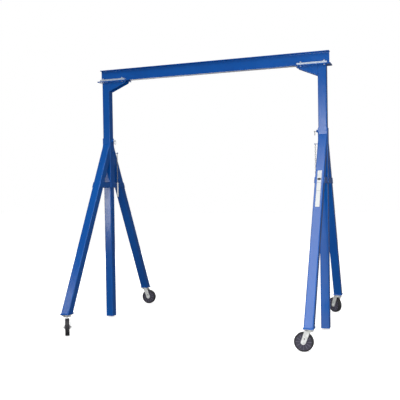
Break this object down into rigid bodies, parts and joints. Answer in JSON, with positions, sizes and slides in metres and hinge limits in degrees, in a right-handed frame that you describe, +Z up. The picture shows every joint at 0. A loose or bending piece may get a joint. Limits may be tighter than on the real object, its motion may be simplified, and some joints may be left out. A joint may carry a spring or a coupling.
{
  "type": "portable gantry crane",
  "caption": "Portable gantry crane: a steel I-beam on two telescoping uprights in caster-mounted A-frames, for lifting with a hoist on a beam trolley.",
  "frame": {"origin": "on the floor under the middle of the beam, at the lowest height setting", "axes": "+X along the beam, +Y across it away from the side the casters are seen from, +Z up"},
  "size_m": [3.09, 2.4701, 3.3224],
  "materials": {
    "blue_paint": "gloss blue powder coat",
    "zinc_plate": "bright zinc plate",
    "phenolic": "dark moulded phenolic"
  },
  "bodies": {
    "left_frame": {"left_sleeve": "blue_paint", "left_sleeve_band": "blue_paint", "left_front_leg": "blue_paint", "left_rear_leg": "blue_paint", "left_tie_plates": "blue_paint", "left_front_foot_plate": "blue_paint", "left_rear_foot_plate": "blue_paint", "left_front_caster_plate": "zinc_plate", "left_rear_caster_plate": "zinc_plate", "left_caster_bolts": "zinc_plate", "left_kingpins": "zinc_plate", "left_lock_barrel": "blue_paint", "left_chain_stud": "blue_paint"},
    "right_frame": {"right_sleeve": "blue_paint", "right_sleeve_band": "blue_paint", "right_front_leg": "blue_paint", "right_rear_leg": "blue_paint", "right_tie_plates": "blue_paint", "right_front_foot_plate": "blue_paint", "right_rear_foot_plate": "blue_paint", "right_front_caster_plate": "zinc_plate", "right_rear_caster_plate": "zinc_plate", "right_caster_bolts": "zinc_plate", "right_kingpins": "zinc_plate", "right_lock_barrel": "blue_paint", "right_chain_stud": "blue_paint"},
    "top_beam": {"i_beam": "blue_paint", "left_upright": "blue_paint", "left_saddle_plate": "blue_paint", "left_gussets": "blue_paint", "left_clamps": "zinc_plate", "left_clamp_bolts": "zinc_plate", "left_clamp_nuts": "zinc_plate", "right_upright": "blue_paint", "right_saddle_plate": "blue_paint", "right_gussets": "blue_paint", "right_clamps": "zinc_plate", "right_clamp_bolts": "zinc_plate", "right_clamp_nuts": "zinc_plate"},
    "left_front_swivel": {"left_front_fork": "zinc_plate", "left_front_axle": "zinc_plate"},
    "left_front_roller": {"left_front_wheel": "phenolic"},
    "left_rear_swivel": {"left_rear_fork": "zinc_plate", "left_rear_axle": "zinc_plate"},
    "left_rear_roller": {"left_rear_wheel": "phenolic"},
    "right_front_swivel": {"right_front_fork": "zinc_plate", "right_front_axle": "zinc_plate"},
    "right_front_roller": {"right_front_wheel": "phenolic"},
    "right_rear_swivel": {"right_rear_fork": "zinc_plate", "right_rear_axle": "zinc_plate"},
    "right_rear_roller": {"right_rear_wheel": "phenolic"},
    "left_plunger": {"left_lock_plunger": "zinc_plate"},
    "left_ring": {"left_pull_ring": "zinc_plate"},
    "left_tether": {"left_chain": "zinc_plate", "left_hitch_pin": "zinc_plate"},
    "right_plunger": {"right_lock_plunger": "zinc_plate"},
    "right_ring": {"right_pull_ring": "zinc_plate"},
    "right_tether": {"right_chain": "zinc_plate", "right_hitch_pin": "zinc_plate"}
  },
  "joints": [
    {"name": "height_adjust", "type": "slide", "parent": "left_frame", "child": "top_beam", "axis": [0, 0, 1], "range_m": [0, 1.524]},
    {"name": "right_sleeve_slide", "type": "slide", "parent": "top_beam", "child": "right_frame", "axis": [0, 0, 1], "range_m": [-1.524, 0]},
    {"name": "left_front_swivel", "type": "hinge", "parent": "left_frame", "child": "left_front_swivel", "pos_m": [-1.44, -1.105, 0.21], "axis": [0, 0, 1], "continuous": true},
    {"name": "left_front_roll", "type": "hinge", "parent": "left_front_swivel", "child": "left_front_roller", "pos_m": [-1.40979, -1.15334, 0.1016], "axis": [0.848, 0.5299, 0], "continuous": true},
    {"name": "left_rear_swivel", "type": "hinge", "parent": "left_frame", "child": "left_rear_swivel", "pos_m": [-1.44, 1.105, 0.21], "axis": [0, 0, 1], "continuous": true},
    {"name": "left_rear_roll", "type": "hinge", "parent": "left_rear_swivel", "child": "left_rear_roller", "pos_m": [-1.383, 1.105, 0.1016], "axis": [0, 1, 0], "continuous": true},
    {"name": "right_front_swivel", "type": "hinge", "parent": "right_frame", "child": "right_front_swivel", "pos_m": [1.44, -1.105, 0.21], "axis": [0, 0, 1], "continuous": true},
    {"name": "right_front_roll", "type": "hinge", "parent": "right_front_swivel", "child": "right_front_roller", "pos_m": [1.383, -1.105, 0.1016], "axis": [0, -1, 0], "continuous": true},
    {"name": "right_rear_swivel", "type": "hinge", "parent": "right_frame", "child": "right_rear_swivel", "pos_m": [1.44, 1.105, 0.21], "axis": [0, 0, 1], "continuous": true},
    {"name": "right_rear_roll", "type": "hinge", "parent": "right_rear_swivel", "child": "right_rear_roller", "pos_m": [1.39508, 1.14009, 0.1016], "axis": [-0.6157, -0.788, 0], "continuous": true},
    {"name": "left_lock_pull", "type": "slide", "parent": "left_frame", "child": "left_plunger", "axis": [1, 0, 0], "range_m": [-0.012, 0.006]},
    {"name": "left_ring_swing", "type": "hinge", "parent": "left_plunger", "child": "left_ring", "pos_m": [-1.339, 0, 2.375], "axis": [0, 1, 0], "range_deg": [-90, 28]},
    {"name": "left_tether_swing", "type": "hinge", "parent": "left_frame", "child": "left_tether", "pos_m": [-1.36, 0.095, 2.215], "axis": [1, 0, 0], "range_deg": [-30, 30]},
    {"name": "right_lock_pull", "type": "slide", "parent": "right_frame", "child": "right_plunger", "axis": [-1, 0, 0], "range_m": [-0.012, 0.006]},
    {"name": "right_ring_swing", "type": "hinge", "parent": "right_plunger", "child": "right_ring", "pos_m": [1.339, 0, 2.375], "axis": [0, -1, 0], "range_deg": [-90, 28]},
    {"name": "right_tether_swing", "type": "hinge", "parent": "right_frame", "child": "right_tether", "pos_m": [1.36, -0.095, 2.215], "axis": [-1, 0, 0], "range_deg": [-30, 30]}
  ],
  "couplings": [
    {"joint": "right_sleeve_slide", "follows": "height_adjust", "ratio": -1}
  ]
}
